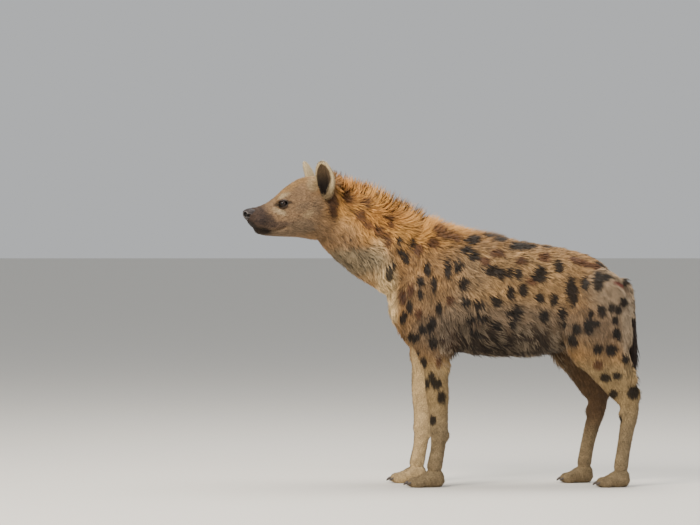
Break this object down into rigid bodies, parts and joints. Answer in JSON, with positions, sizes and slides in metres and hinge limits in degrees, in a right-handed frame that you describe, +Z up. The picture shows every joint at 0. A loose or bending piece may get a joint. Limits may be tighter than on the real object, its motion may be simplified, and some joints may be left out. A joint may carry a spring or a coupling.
{
  "type": "spotted hyena, still life-size model",
  "caption": "Life-size still model of a standing spotted hyena, head raised and turned a little to its left, rests on flat soles.",
  "frame": {"origin": "on the floor under the middle of the whole animal", "axes": "+Z up, the animal faces -X, its left flank is towards -Y"},
  "size_m": [1.2448, 0.292, 1.0206],
  "materials": {
    "coat": "short shaggy fur, straw to grey-buff with dark brown spots",
    "mane": "long coarse hair, golden tan with darker roots",
    "face": "very short fur, grey-brown, dark round the muzzle",
    "ear_fur": "short pale fur outside, dark fur inside the cup",
    "leg_fur": "short fur, grey-tan with dark spots",
    "tail_tuft": "long coarse hair, brown-black towards the tip",
    "nose_skin": "bare pebbled skin, slightly moist",
    "eye": "clear wet gloss over a dark brown iris",
    "claw": "worn blunt horn"
  },
  "bodies": {
    "root": {"torso": "coat", "neck": "mane", "head": "face", "tail": "tail_tuft", "nose": "nose_skin", "ear_left": "ear_fur", "ear_right": "ear_fur", "eye_left": "eye", "eye_right": "eye", "foreleg_left": "leg_fur", "foreleg_right": "leg_fur", "hindleg_left": "leg_fur", "hindleg_right": "leg_fur", "paw_fore_left": "leg_fur", "paw_fore_right": "leg_fur", "paw_hind_left": "leg_fur", "paw_hind_right": "leg_fur", "claw_fore_left_1": "claw", "claw_fore_left_2": "claw", "claw_fore_left_3": "claw", "claw_fore_left_4": "claw", "claw_fore_right_1": "claw", "claw_fore_right_2": "claw", "claw_fore_right_3": "claw", "claw_fore_right_4": "claw", "claw_hind_left_1": "claw", "claw_hind_left_2": "claw", "claw_hind_left_3": "claw", "claw_hind_left_4": "claw", "claw_hind_right_1": "claw", "claw_hind_right_2": "claw", "claw_hind_right_3": "claw", "claw_hind_right_4": "claw"}
  },
  "joints": []
}
